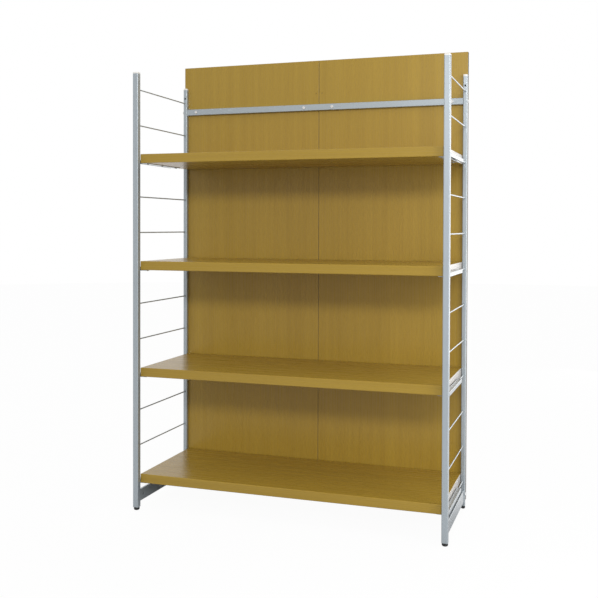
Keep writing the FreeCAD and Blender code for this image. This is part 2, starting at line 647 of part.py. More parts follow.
def make_hook_screws(name, number):
    """Screws that hold both hook rails of one shelf."""
    body = new_body(f"{name}_shelf_hook_screws")
    turned = []
    outline = None
    for side, sign in SIDES:
        origin = (f"{sign} * ({SIDE_X} - {HOOK_SCREW_X})", "-hook_plate", f"{HOOK_SCREW_SPAN} / 2")
        screw, outline = add_fastener(body, f"first_{side}_screw", "XZ_Plane", origin, "V_Axis", -1,
                                      "hook_screw", "hook_plate + hook_screw_bite")
        turned.append(screw)
    row = add_row(body, "screws", turned, outline, "N_Axis", HOOK_SCREW_SPAN, "hook_screw_count")
    row.Reversed = True
    place(body, "0", HOOK_Y, f"{rung_z(number)} - shelf_drop")


def check_model():
    """Stops before anything is written if a feature failed or a cut missed its solid."""
    for item in doc.Objects:
        if "Invalid" in item.State or "Error" in item.State:
            raise RuntimeError(f"{item.Label}: {item.State}")
        if item.TypeId == "PartDesign::Pocket" and not item.Shape.Volume < item.BaseFeature.Shape.Volume:
            raise RuntimeError(f"{item.Label} cuts nothing")
    for item in subparts:
        if item.Shape.isNull() or not item.Shape.isValid():
            raise RuntimeError(f"{item.Label} has no valid shape")


fill_sheet()
for side_name, side_sign in SIDES:
    for rear in (False, True):
        make_post(side_name, side_sign, rear)
        corner_name = f"{side_name}_{'rear' if rear else 'front'}"
        corner_x = f"{side_sign} * {SIDE_X}"
        corner_y = REAR_Y if rear else FRONT_Y
        make_post_cap(corner_name, corner_x, corner_y, rear)
        make_foot(corner_name, corner_x, corner_y, rear)
    make_rungs(side_name, side_sign)
    make_bottom_rail(side_name, side_sign)
    make_panel(side_name, side_sign)
make_crossbar("upper", UPPER_BAR_Z)
make_crossbar("lower", LOWER_BAR_Z)
make_bar_plugs()
make_bar_bolts()
make_panel_screws()
for shelf_number, shelf_name in enumerate(SHELF_NAMES, start=1):
    make_shelf(shelf_name, shelf_number)
    for side_name, side_sign in SIDES:
        make_hook_rail(shelf_name, shelf_number, side_name, side_sign)
    make_hook_screws(shelf_name, shelf_number)
doc.recompute()
check_model()

os.makedirs("parts", exist_ok=True)
for subpart in subparts:
    subpart.Shape.exportStep(f"parts/{subpart.Label}.step")
    box = subpart.Shape.BoundBox
    corners = (box.XMin, box.XMax, box.YMin, box.YMax, box.ZMin, box.ZMax)
    print(subpart.Label, len(subpart.Shape.Solids), " ".join(f"{part:.2f}" for part in corners))
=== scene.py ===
import json
import math

import bmesh
import bpy
from bpy.props import FloatProperty, FloatVectorProperty, IntProperty, PointerProperty
from mathutils import Matrix, Vector


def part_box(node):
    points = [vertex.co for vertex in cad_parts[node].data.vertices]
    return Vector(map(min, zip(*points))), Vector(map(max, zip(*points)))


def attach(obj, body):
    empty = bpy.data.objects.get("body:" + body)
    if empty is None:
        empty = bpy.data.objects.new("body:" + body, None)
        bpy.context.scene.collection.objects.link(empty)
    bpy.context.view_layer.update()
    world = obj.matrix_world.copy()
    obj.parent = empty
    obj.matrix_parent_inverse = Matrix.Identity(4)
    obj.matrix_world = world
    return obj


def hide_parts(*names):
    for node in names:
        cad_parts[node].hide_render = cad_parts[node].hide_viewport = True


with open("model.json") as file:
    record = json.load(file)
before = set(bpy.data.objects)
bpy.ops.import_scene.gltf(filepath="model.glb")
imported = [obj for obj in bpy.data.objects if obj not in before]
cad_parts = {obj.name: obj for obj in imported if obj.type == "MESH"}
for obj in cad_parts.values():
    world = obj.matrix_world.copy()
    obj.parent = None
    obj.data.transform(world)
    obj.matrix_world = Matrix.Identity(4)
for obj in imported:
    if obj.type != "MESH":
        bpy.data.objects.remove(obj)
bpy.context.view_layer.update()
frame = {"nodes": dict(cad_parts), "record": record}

bl_info = {
    "name": "Room divider shelving unit",
    "version": (1, 0, 0),
    "blender": (4, 5, 0),
    "location": "View3D > Sidebar > Shelving",
    "description": "Dresses a ladder-frame shelving unit with its boards, rungs, screws and finishes",
    "category": "Object",
}

SHELVES = ("top", "upper", "lower", "bottom")
SIDES = ("left", "right")
POSTS = ("left_front", "left_rear", "right_front", "right_rear")
X_AXIS, Z_AXIS = 0, 2
MM = 0.001


def linear(hex_colour):
    """A six-digit sRGB hex colour as linear red, green, blue and alpha, by the sRGB curve."""
    shares = [int(hex_colour[start:start + 2], 16) / 255 for start in (1, 3, 5)]
    return [*(
        share / 12.92 if share <= 0.04045 else ((share + 0.055) / 1.055) ** 2.4 for share in shares
    ), 1.0]


def repeats(millimetres):
    """How often a pattern of this real size repeats in a metre, which is a noise's scale."""
    return 1 / (millimetres * MM)


# Settings that a user would change.


class ShelvingSizes(bpy.types.PropertyGroup):
    """Sizes of the parts that the scene makes."""

    round_sides: IntProperty(
        name="Round sides", description="Flat sides of a round rung or stud", default=24, min=8)
    rung_chamfer: FloatProperty(
        name="Rung chamfer", description="Chamfer of a rung's ends", default=0.4 * MM, unit="LENGTH")
    socket_share: FloatProperty(
        name="Hex socket", description="Hex socket across flats, of a dome head's width", default=0.52,
        subtype="FACTOR", min=0.1, max=0.7)
    bolt_radius: FloatProperty(
        name="Bolt radius", description="Radius of a crossbar bolt's shank", default=3 * MM, unit="LENGTH")
    bolt_bite: FloatProperty(
        name="Bolt bite", description="How far a crossbar bolt reaches past its post", default=18 * MM,
        unit="LENGTH")
    screw_radius: FloatProperty(
        name="Screw radius", description="Radius of a panel screw's shank", default=2 * MM, unit="LENGTH")
    thread_pitch: FloatProperty(
        name="Thread pitch", description="Pitch of a foot stud's thread", default=1.25 * MM, unit="LENGTH")
    thread_depth: FloatProperty(
        name="Thread depth", description="Height of a foot stud's thread", default=0.6 * MM, unit="LENGTH")


# What all colour settings share.
COLOUR = {"subtype": "COLOR", "size": 4, "min": 0, "max": 1}


class ShelvingColours(bpy.types.PropertyGroup):
    """Colours of the finishes."""

    steel: FloatVectorProperty(
        name="Powder coat", description="Silver-grey powder coat of the steel", **COLOUR,
        default=linear("#9fa8ae"))
    wood_light: FloatVectorProperty(
        name="Wood, light", description="Light tone of the wood-grain laminate", **COLOUR,
        default=linear("#ad8e35"))
    wood_dark: FloatVectorProperty(
        name="Wood, dark", description="Dark tone of the wood-grain laminate", **COLOUR,
        default=linear("#a2832f"))
    # Painted light: near-white on the shelves' ends that face the sides, standing in for the light that falls
    # on them from the side.
    shelf_band: FloatVectorProperty(
        name="Shelf's edge band", description="White band on a shelf's short ends", **COLOUR,
        default=linear("#dcd6cf"))
    # Dull dark grey on the back panels' edges that face the sides.
    panel_band: FloatVectorProperty(
        name="Panel's edge band", description="Dull grey band on a back panel's long edges", **COLOUR,
        default=linear("#6b6966"))
    black: FloatVectorProperty(
        name="Black plastic", description="Plastic of the feet and inserts", **COLOUR,
        default=linear("#161617"))
    cap: FloatVectorProperty(
        name="Cap plastic", description="Plastic of the posts' end caps", **COLOUR,
        default=linear("#f0eee9"))
    zinc: FloatVectorProperty(
        name="Zinc", description="Bright zinc plating of the screws and bolts", **COLOUR,
        default=linear("#969896"))
    floor: FloatVectorProperty(
        name="Floor", description="White floor under the unit", **COLOUR,
        default=linear("#f7f7f7"))
    floor_bounce: FloatVectorProperty(
        name="Floor's bounce", description="What the floor gives back as light", **COLOUR,
        default=linear("#a6a6a6"))


class ShelvingLight(bpy.types.PropertyGroup):
    """Levels of the lamps and of the surroundings."""

    surround: FloatProperty(
        name="Surround", description="Strength of the even light from all round", default=0.68, min=0)
    key: FloatProperty(
        name="Key light", description="Lamp in front, high and to the right", default=80, unit="POWER", min=0)
    side: FloatProperty(
        name="Side light", description="Soft lamp close to the right side", default=8.5, unit="POWER", min=0)
    rim: FloatProperty(
        name="Rim light", description="Soft lamp behind on the right, seen in the right side's gloss",
        default=12, unit="POWER", min=0)


# Finishes.

# Nearly all of a noise's values lie in this span.
NOISE_SPAN = {"From Min": 0.3, "From Max": 0.7}


def add_node(tree, kind, inputs=None, **settings):
    """Adds a node with its settings; each input is a value or another node's output."""
    node = tree.nodes.new(kind)
    for name, value in settings.items():
        setattr(node, name, value)
    for name, value in (inputs or {}).items():
        socket = node.inputs[name]
        if isinstance(value, bpy.types.NodeSocket):
            tree.links.new(value, socket)
        else:
            socket.default_value = value
    return node


def new_material(name):
    """An empty node material and its tree."""
    material = bpy.data.materials.new(name)
    material.use_nodes = True
    material.node_tree.nodes.clear()
    return material, material.node_tree


def close_material(tree, shader):
    """Connects the last shader to the material's output."""
    add_node(tree, "ShaderNodeOutputMaterial", {"Surface": shader.outputs[0]})


# Painted shade in hollows: rays that look for open air, and the share of its tone that a colour keeps in a
# deep hollow.
HOLLOW_SAMPLES = 8
HOLLOW_DARKEST = 0.05


def with_painted_hollow_shade(tree, colour, lightness, reach, shut, open_from):
    """A colour of varied lightness that turns nearly black in hollows.

    It is darkest where no more than the share shut of what lies within reach is open air,
    and full from the share open_from. This darkening is painted shade, put where shade
    falls in hollows.
    """
    open_air = add_node(tree, "ShaderNodeAmbientOcclusion", {"Distance": reach}, samples=HOLLOW_SAMPLES)
    covered = add_node(tree, "ShaderNodeMapRange", {
        "Value": open_air.outputs["AO"], "From Min": shut, "From Max": open_from,
        "To Min": HOLLOW_DARKEST, "To Max": 1.0,
    })
    value = add_node(tree, "ShaderNodeMath", {
        0: lightness.outputs["Result"], 1: covered.outputs["Result"],
    }, operation="MULTIPLY")
    tone = add_node(tree, "ShaderNodeHueSaturation", {"Color": colour, "Value": value.outputs["Value"]})
    return tone.outputs["Color"]


def powder_coat(colours):
    """Silver polyester powder coat, sprayed as a powder and baked to a glossy film.

    Fine aluminium flakes in it give a soft grey shine. The clear top of the film mirrors a
    bright room at a low angle, and its orange peel, waves about 2 mm wide, blurs what it
    mirrors. The flakes are about 0.05 mm in the real film, and are drawn at 0.9 mm so that
    they show at all. Painted shade turns the colour nearly black inside the tubes and their
    holes, where little open air lies near.
    """
    material, tree = new_material("silver_powder_coated_steel")
    place = add_node(tree, "ShaderNodeTexCoord").outputs["Object"]
    peel = add_node(tree, "ShaderNodeTexNoise", {"Vector": place, "Scale": repeats(2.2), "Detail": 1.0})
    flakes = add_node(tree, "ShaderNodeTexNoise", {"Vector": place, "Scale": repeats(0.9), "Detail": 2.0})
    clouds = add_node(tree, "ShaderNodeTexNoise", {"Vector": place, "Scale": repeats(60), "Detail": 2.0})
    lightness = add_node(tree, "ShaderNodeMapRange", {
        "Value": flakes.outputs["Fac"], **NOISE_SPAN, "To Min": 0.94, "To Max": 1.06,
    })
    # Painted shade: the colour turns nearly black inside the tubes and their holes.
    tone = with_painted_hollow_shade(tree, colours.steel, lightness, reach=30 * MM, shut=0.1, open_from=0.3)
    roughness = add_node(tree, "ShaderNodeMapRange", {
        "Value": clouds.outputs["Fac"], **NOISE_SPAN, "To Min": 0.36, "To Max": 0.44,
    })
    bump = add_node(tree, "ShaderNodeBump", {
        "Height": peel.outputs["Fac"], "Strength": 0.12, "Distance": 0.05 * MM,
    })
    shader = add_node(tree, "ShaderNodeBsdfPrincipled", {
        "Base Color": tone, "Metallic": 0.4, "Roughness": roughness.outputs["Result"],
        "Normal": bump.outputs["Normal"], "Coat Weight": 0.9, "Coat Roughness": 0.24, "Coat IOR": 1.5,
    })
    close_material(tree, shader)
    return material


def wood_laminate(colours):
    """Melamine laminate printed with a straight oak grain, pressed with a satin pore texture.

    The print has long streaks of two close tones, 5 to 30 mm wide. Short pores about 1 mm
    wide are pressed into it, a little darker. Its coordinates run along the grain. A
    shelf's short ends are near-white: painted light, standing in for the light that falls
    on them from the side. A back panel's long edges are a dull dark grey.
    """
    material, tree = new_material("satin_wood_grain_laminate")
    place = add_node(tree, "ShaderNodeUVMap", uv_map="grain").outputs["UV"]
    layers = {}
    # Length and width of a layer's marks in millimetres, its detail, roughness and place.
    for layer, length, width, detail, rough, start in (
        ("bands", 1500, 32, 2.0, 0.5, (0, 0, 0)),
        ("streaks", 520, 5, 3.0, 0.55, (4, 10.8, 0)),
        ("pores", 26, 1.1, 2.0, 0.7, (9, 24.3, 0)),
    ):
        drawn_out = add_node(tree, "ShaderNodeMapping", {
            "Vector": place, "Location": start, "Scale": (repeats(length), repeats(width), 1),
        })
        noise = add_node(tree, "ShaderNodeTexNoise", {
            "Vector": drawn_out.outputs["Vector"], "Scale": 1.0, "Detail": detail, "Roughness": rough,
        }, noise_dimensions="2D")
        layers[layer] = noise.outputs["Fac"]
    shares = [add_node(tree, "ShaderNodeMapRange", {
        "Value": layers[layer], **NOISE_SPAN, "To Min": 0.0, "To Max": 0.5,
    }) for layer in ("bands", "streaks")]
    mixed = add_node(tree, "ShaderNodeMath", {
        0: shares[0].outputs["Result"], 1: shares[1].outputs["Result"],
    }, operation="ADD")
    tone = add_node(tree, "ShaderNodeMix", {
        "Factor": mixed.outputs["Value"], "A": colours.wood_light, "B": colours.wood_dark,
    }, data_type="RGBA")
    pits = add_node(tree, "ShaderNodeMapRange", {
        "Value": layers["pores"], "From Min": 0.56, "From Max": 0.68, "To Min": 0.0, "To Max": 1.0,
    }).outputs["Result"]
    pore_tone = add_node(tree, "ShaderNodeMapRange", {"Value": pits, "To Min": 1.0, "To Max": 0.9})
    # Faces that face the sides take their own colour: painted light on a shelf's ends, dull dark grey on a
    # panel's edges.
    banded = {}
    for band, band_colour in (("shelf_band", colours.shelf_band), ("panel_band", colours.panel_band)):
        banded[band] = add_node(tree, "ShaderNodeAttribute", attribute_name=band).outputs["Fac"]
        tone = add_node(tree, "ShaderNodeMix", {
            "Factor": banded[band], "A": tone.outputs["Result"], "B": band_colour,
        }, data_type="RGBA")
    colour = add_node(tree, "ShaderNodeHueSaturation", {
        "Color": tone.outputs["Result"], "Value": pore_tone.outputs["Result"],
    })
    satin = add_node(tree, "ShaderNodeMapRange", {
        "Value": layers["streaks"], **NOISE_SPAN, "To Min": 0.24, "To Max": 0.32,
    })
    roughness = add_node(tree, "ShaderNodeMapRange", {
        "Value": banded["panel_band"], "To Min": satin.outputs["Result"], "To Max": 0.8,
    })
    bump = add_node(tree, "ShaderNodeBump", {"Height": pits, "Strength": 0.15, "Distance": -0.05 * MM})
    shader = add_node(tree, "ShaderNodeBsdfPrincipled", {
        "Base Color": colour.outputs["Color"], "Specular IOR Level": 0.38,
        "Roughness": roughness.outputs["Result"], "Normal": bump.outputs["Normal"],
    })
    close_material(tree, shader)
    return material


# How much the scuffs change the roughness of moulded plastic, either way.
SCUFF_SPREAD = 0.05


def moulded_plastic(name, colour, roughness):
    """Injection-moulded nylon with a fine spark-eroded texture of about 0.8 mm and faint scuffs."""
    material, tree = new_material(name)
    place = add_node(tree, "ShaderNodeTexCoord").outputs["Object"]
    grit = add_node(tree, "ShaderNodeTexNoise", {"Vector": place, "Scale": repeats(0.8), "Detail": 2.0})
    scuffs = add_node(tree, "ShaderNodeTexNoise", {"Vector": place, "Scale": repeats(9), "Detail": 3.0})
    lightness = add_node(tree, "ShaderNodeMapRange", {
        "Value": scuffs.outputs["Fac"], **NOISE_SPAN, "To Min": 0.92, "To Max": 1.08,
    })
    tone = add_node(tree, "ShaderNodeHueSaturation", {"Color": colour, "Value": lightness.outputs["Result"]})
    gloss = add_node(tree, "ShaderNodeMapRange", {
        "Value": scuffs.outputs["Fac"], **NOISE_SPAN,
        "To Min": roughness - SCUFF_SPREAD, "To Max": roughness + SCUFF_SPREAD,
    })
    bump = add_node(tree, "ShaderNodeBump", {
        "Height": grit.outputs["Fac"], "Strength": 0.2, "Distance": 0.04 * MM,
    })
    shader = add_node(tree, "ShaderNodeBsdfPrincipled", {
        "Base Color": tone.outputs["Color"], "IOR": 1.5, "Roughness": gloss.outputs["Result"],
        "Normal": bump.outputs["Normal"],
    })
    close_material(tree, shader)
    return material


def zinc_plating(colours):
    """Bright zinc-plated steel: turned heads with faint tool marks and a slightly cloudy plating.

    Painted shade turns the colour nearly black in the hex sockets.
    """
    material, tree = new_material("bright_zinc_plated_steel")
    place = add_node(tree, "ShaderNodeTexCoord").outputs["Object"]
    clouds = add_node(tree, "ShaderNodeTexNoise", {"Vector": place, "Scale": repeats(3), "Detail": 2.0})
    marks = add_node(tree, "ShaderNodeTexNoise", {"Vector": place, "Scale": repeats(0.5), "Detail": 1.0})
    lightness = add_node(tree, "ShaderNodeMapRange", {
        "Value": clouds.outputs["Fac"], **NOISE_SPAN, "To Min": 0.9, "To Max": 1.05,
    })
    # Painted shade: the colour turns nearly black in the hex sockets.
    tone = with_painted_hollow_shade(tree, colours.zinc, lightness, reach=4 * MM, shut=0.2, open_from=0.6)
    roughness = add_node(tree, "ShaderNodeMapRange", {
        "Value": clouds.outputs["Fac"], **NOISE_SPAN, "To Min": 0.14, "To Max": 0.22,
    })
    bump = add_node(tree, "ShaderNodeBump", {
        "Height": marks.outputs["Fac"], "Strength": 0.1, "Distance": 0.02 * MM,
    })
    shader = add_node(tree, "ShaderNodeBsdfPrincipled", {
        "Base Color": tone, "Metallic": 1.0, "Roughness": roughness.outputs["Result"],
        "Normal": bump.outputs["Normal"],
    })
    close_material(tree, shader)
    return material


def finish(name):
    """A finish by its record slot, made when it is first asked for."""
    scene = bpy.context.scene
    colours = scene.shelving_colours
    makers = {
        "painted_steel": lambda: powder_coat(colours),
        "wood_board": lambda: wood_laminate(colours),
        "black_plastic": lambda: moulded_plastic("black_moulded_nylon", colours.black, roughness=0.48),
        "white_plastic": lambda: moulded_plastic("white_moulded_nylon", colours.cap, roughness=0.4),
        "zinc_steel": lambda: zinc_plating(colours),
    }
    key = f"finish_{name}"
    if key not in scene:
        scene[key] = makers[name]().name
    return bpy.data.materials[scene[key]]


# Shapes.


def dress(node, slot):
    """Gives a CAD node that stays its finish."""
    piece = frame["nodes"][node]
    for place in piece.material_slots:
        place.material = finish(slot)


def new_piece(name, mesh, body, slot, *nodes):
    """Adds a finished piece that rides on a body and stands for CAD nodes."""
    piece = bpy.data.objects.new(name, mesh)
    bpy.context.scene.collection.objects.link(piece)
    if not mesh.materials:
        mesh.materials.append(finish(slot))
    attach(piece, body)
    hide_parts(*nodes)


def shade(mesh, degrees=35):
    """Shades a mesh smooth, with hard edges where faces meet at more than the angle."""
    mesh.shade_smooth()
    mesh.set_sharp_from_angle(angle=math.radians(degrees))


# The angle that one side of a hexagon takes up.
HEX_SIDE = math.pi / 3


def ring_mesh(name, rings, sides):
    """Closed mesh about Z through rings of (height, radius, is_hexagonal), from end to end."""
    shape = bmesh.new()
    loops = []
    for height, radius, hexagonal in rings:
        loop = []
        for step in range(sides):
            angle = 2 * math.pi * step / sides
            reach = radius
            if hexagonal:
                from_middle = (angle + HEX_SIDE / 2) % HEX_SIDE - HEX_SIDE / 2
                reach = radius / math.cos(from_middle)
            loop.append(shape.verts.new((reach * math.cos(angle), reach * math.sin(angle), height)))
        loops.append(loop)
    for lower, upper in zip(loops, loops[1:]):
        for step in range(sides):
            after = (step + 1) % sides
            shape.faces.new((lower[step], lower[after], upper[after], upper[step]))
    shape.faces.new(list(reversed(loops[0])))
    shape.faces.new(loops[-1])
    bmesh.ops.recalc_face_normals(shape, faces=shape.faces)
    mesh = bpy.data.meshes.new(name)
    shape.to_mesh(mesh)
    shape.free()
    shade(mesh)
    return mesh


# Flat sides of a dome head, and the rings that its dome rises in.
HEAD_SIDES = 36
DOME_STEPS = 6
# Shares of a dome head's height: its seat's chamfer, its rim, and the socket's mouth and floor.
SEAT_CHAMFER_SHARE = 0.08
RIM_SHARE = 0.25
SOCKET_MOUTH_SHARE = 0.97
SOCKET_FLOOR_SHARE = 0.35
# Radii: the seat's as a share of the head's, the tip's of the shank's, and the flat top's of
# the socket's width. The tip's cone is half as long as the shank's radius.
SEAT_RADIUS_SHARE = 0.94
TIP_RADIUS_SHARE = 0.7
TIP_LENGTH_SHARE = 0.5
TOP_RADIUS_SHARE = 0.72
# Just short of a right angle, so that the dome starts a hair above the rim.
DOME_START = math.asin(0.999)


def dome_screw(name, head_radius, head_height, shank_radius, shank_length):
    """Button-head screw, its seat at the origin and its head towards +Z, with a hex socket."""
    socket = 2 * head_radius * bpy.context.scene.shelving_sizes.socket_share
    rings = [
        (-shank_length, shank_radius * TIP_RADIUS_SHARE, False),
        (-shank_length + shank_radius * TIP_LENGTH_SHARE, shank_radius, False),
        (0, shank_radius, False),
        (0, head_radius * SEAT_RADIUS_SHARE, False),
        (head_height * SEAT_CHAMFER_SHARE, head_radius, False),
    ]
    rim = head_height * RIM_SHARE
    top_radius = socket * TOP_RADIUS_SHARE
    for step in range(DOME_STEPS + 1):
        angle = DOME_START * (1 - step / DOME_STEPS)
        radius = top_radius + (head_radius - top_radius) * math.sin(angle)
        rings.append((rim + (head_height - rim) * math.cos(angle), radius, False))
    rings.append((head_height * SOCKET_MOUTH_SHARE, socket / 2, True))
    rings.append((head_height * SOCKET_FLOOR_SHARE, socket / 2, True))
    return ring_mesh(name, rings, HEAD_SIDES)


def turn_mesh(mesh, axis, angle):
    """Turns a mesh about one of its axes by degrees."""
    mesh.transform(Matrix.Rotation(math.radians(angle), 4, axis))


def new_geometry_tree(name, sizes):
    """A geometry tree that takes a mesh, sizes of given kinds and a material, with its inputs."""
    tree = bpy.data.node_groups.new(name, "GeometryNodeTree")
    tree.is_modifier = True
    for socket, kind in (("Geometry", "Geometry"), *sizes, ("Material", "Material")):
        tree.interface.new_socket(name=socket, in_out="INPUT", socket_type=f"NodeSocket{kind}")
    tree.interface.new_socket(name="Geometry", in_out="OUTPUT", socket_type="NodeSocketGeometry")
    return tree, add_node(tree, "NodeGroupInput").outputs


def close_geometry_tree(tree, made, material):
    """Makes what a tree has made one plain mesh, gives it its finish and puts it out."""
    solid = add_node(tree, "GeometryNodeRealizeInstances", {"Geometry": made})
    coloured = add_node(tree, "GeometryNodeSetMaterial", {
        "Geometry": solid.outputs["Geometry"], "Material": material,
    })
    add_node(tree, "NodeGroupOutput", {"Geometry": coloured.outputs["Geometry"]})


def copies_tree():
    """Geometry nodes that repeat the incoming mesh on a grid and give it its finish."""
    name = "rows_of_copies"
    if name in bpy.data.node_groups:
        return bpy.data.node_groups[name]
    tree, given = new_geometry_tree(name, (
        ("First place", "Vector"), ("Columns", "Int"), ("Column step", "Vector"), ("Rows", "Int"),
        ("Row step", "Vector"),
    ))
    column = add_node(tree, "GeometryNodeMeshLine", {
        "Count": given["Columns"], "Start Location": given["First place"], "Offset": given["Column step"],
    }, mode="OFFSET")
    row = add_node(tree, "GeometryNodeMeshLine", {
        "Count": given["Rows"], "Offset": given["Row step"],
    }, mode="OFFSET")
    grid = add_node(tree, "GeometryNodeInstanceOnPoints", {
        "Points": column.outputs["Mesh"], "Instance": row.outputs["Mesh"],
    })
    points = add_node(tree, "GeometryNodeRealizeInstances", {"Geometry": grid.outputs["Instances"]})
    placed = add_node(tree, "GeometryNodeInstanceOnPoints", {
        "Points": points.outputs["Geometry"], "Instance": given["Geometry"],
    })
    close_geometry_tree(tree, placed.outputs["Instances"], given["Material"])
    return tree


def thread_tree():
    """Geometry nodes that wind a screw thread round the incoming core."""
    name = "screw_thread"
    if name in bpy.data.node_groups:
        return bpy.data.node_groups[name]
    tree, given = new_geometry_tree(name, (
        ("Turns", "Float"), ("Points", "Int"), ("Radius", "Float"), ("Length", "Float"), ("Ridge", "Float"),
        ("Place", "Vector"),
    ))
    spiral = add_node(tree, "GeometryNodeCurveSpiral", {
        "Resolution": given["Points"], "Rotations": given["Turns"], "Start Radius": given["Radius"],
        "End Radius": given["Radius"], "Height": given["Length"],
    })
    profile = add_node(tree, "GeometryNodeCurvePrimitiveCircle", {"Resolution": 4, "Radius": given["Ridge"]})
    ridge = add_node(tree, "GeometryNodeCurveToMesh", {
        "Curve": spiral.outputs["Curve"], "Profile Curve": profile.outputs["Curve"], "Fill Caps": True,
    })
    moved = add_node(tree, "GeometryNodeTransform", {
        "Geometry": ridge.outputs["Mesh"], "Translation": given["Place"],
    })
    joined = add_node(tree, "GeometryNodeJoinGeometry", {"Geometry": given["Geometry"]})
    tree.links.new(moved.outputs["Geometry"], joined.inputs["Geometry"])
    close_geometry_tree(tree, joined.outputs["Geometry"], given["Material"])
    return tree


def through_nodes(mesh, tree, values):
    """Runs a mesh through a geometry tree with named inputs and returns the plain result."""
    holder = bpy.data.objects.new("holder", mesh)
    bpy.context.scene.collection.objects.link(holder)
    modifier = holder.modifiers.new("nodes", "NODES")
    modifier.node_group = tree
    for item in tree.interface.items_tree:
        if item.in_out == "INPUT" and item.name in values:
            modifier[item.identifier] = values[item.name]
    graph = bpy.context.evaluated_depsgraph_get()
    made = bpy.data.meshes.new_from_object(holder.evaluated_get(graph))
    holder.modifiers.remove(modifier)
    bpy.data.objects.remove(holder)
    bpy.data.meshes.remove(mesh)
    return made


def join_meshes(name, meshes):
    """One mesh out of several, with the first one's finish."""
    shape = bmesh.new()
    for mesh in meshes:
        shape.from_mesh(mesh)
    joined = bpy.data.meshes.new(name)
    shape.to_mesh(joined)
    shape.free()
    joined.materials.append(meshes[0].materials[0])
    for mesh in meshes:
        bpy.data.meshes.remove(mesh)
    shade(joined)
    return joined


def body_of(node):
    """The name of the body that a CAD node belongs to."""
    groups = frame["record"]["behaviour"]["bodies"]
    return next(body for body, nodes in groups.items() if node in nodes)


# A board's place in the printed pattern: how far its seed moves it across the grain for each
# metre along it, and how far each side of a board lies from the next one.
SEED_ACROSS = 1.7
SIDE_STEP = 0.31


def grained_board(node, grain, seed, band_name):
    """A CAD board's own shape with coordinates that run along the printed grain.

    grain is the axis of the grain on the faces; on a narrow edge across it the grain runs
    along the edge. The edges that face to the sides are marked for a colour of their own,
    which on a shelf is painted light.
    """
    mesh = frame["nodes"][node].data.copy()
    mesh.materials.clear()
    grain_map = mesh.uv_layers.new(name="grain")
    band = mesh.attributes.new(band_name, "FLOAT", "FACE")
    low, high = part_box(node)
    spans = [high[axis] - low[axis] for axis in range(3)]
    for face in mesh.polygons:
        facing = max(range(3), key=lambda axis: abs(face.normal[axis]))
        flat_axes = [axis for axis in range(3) if axis != facing]
        along = grain if grain != facing else max(flat_axes, key=lambda axis: spans[axis])
        across = next(axis for axis in flat_axes if axis != along)
        band.data[face.index].value = float(facing == X_AXIS)
        for corner in face.loop_indices:
            spot = mesh.vertices[mesh.loops[corner].vertex_index].co
            grain_map.data[corner].uv = (
                spot[along] + seed, spot[across] + seed * SEED_ACROSS + facing * SIDE_STEP)
    new_piece(f"{node}_board", mesh, body_of(node), "wood_board", node)


# Least Y of the normal of a rod's flat end, and the least height between the corners of two
# separate rods' ends, in radii.
END_NORMAL = 0.99
ROD_GAP = 4


def count_rods(node, radius):
    """How many separate rods lie along Y in a node, counted from the flat ends in its mesh."""
    mesh = frame["nodes"][node].data
    ends = [face for face in mesh.polygons if face.normal.y > END_NORMAL]
    heights = sorted(mesh.vertices[face.vertices[0]].co.z for face in ends)
    return 1 + sum(after - before > ROD_GAP * radius for before, after in zip(heights, heights[1:]))


def crossbar_heights():
    """Heights of the middles of the lower and the upper crossbar."""
    return [sum(corner.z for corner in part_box(f"{level}_crossbar")) / 2 for level in ("lower", "upper")]


# One operator for each group of like pieces.


class SHELVING_OT_side_frames(bpy.types.Operator):
    """Dress the posts and bottom rails and make the rungs of both side frames"""

    bl_idname = "shelving.side_frames"
    bl_label = "Side frames"

    def execute(self, context):
        sizes = context.scene.shelving_sizes
        for corner in POSTS:
            dress(f"{corner}_post", "painted_steel")
        for side in SIDES:
            dress(f"{side}_bottom_rail", "painted_steel")
            node = f"{side}_rungs"
            low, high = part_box(node)
            radius = (high.x - low.x) / 2
            count = count_rods(node, radius)
            length = high.y - low.y
            edge = sizes.rung_chamfer
            rod = ring_mesh("rung", (
                (0, radius - edge, False), (edge, radius, False),
                (length - edge, radius, False), (length, radius - edge, False),
            ), sizes.round_sides)
            turn_mesh(rod, "X", -90)
            rungs = through_nodes(rod, copies_tree(), {
                "First place": ((low.x + high.x) / 2, low.y, low.z + radius),
                "Columns": 1, "Column step": (0, 0, 0),
                "Rows": count, "Row step": (0, 0, (high.z - low.z - 2 * radius) / (count - 1)),
                "Material": finish("painted_steel"),
            })
            new_piece(f"{side}_ladder_rungs", rungs, "frame", "painted_steel", node)
        return {"FINISHED"}


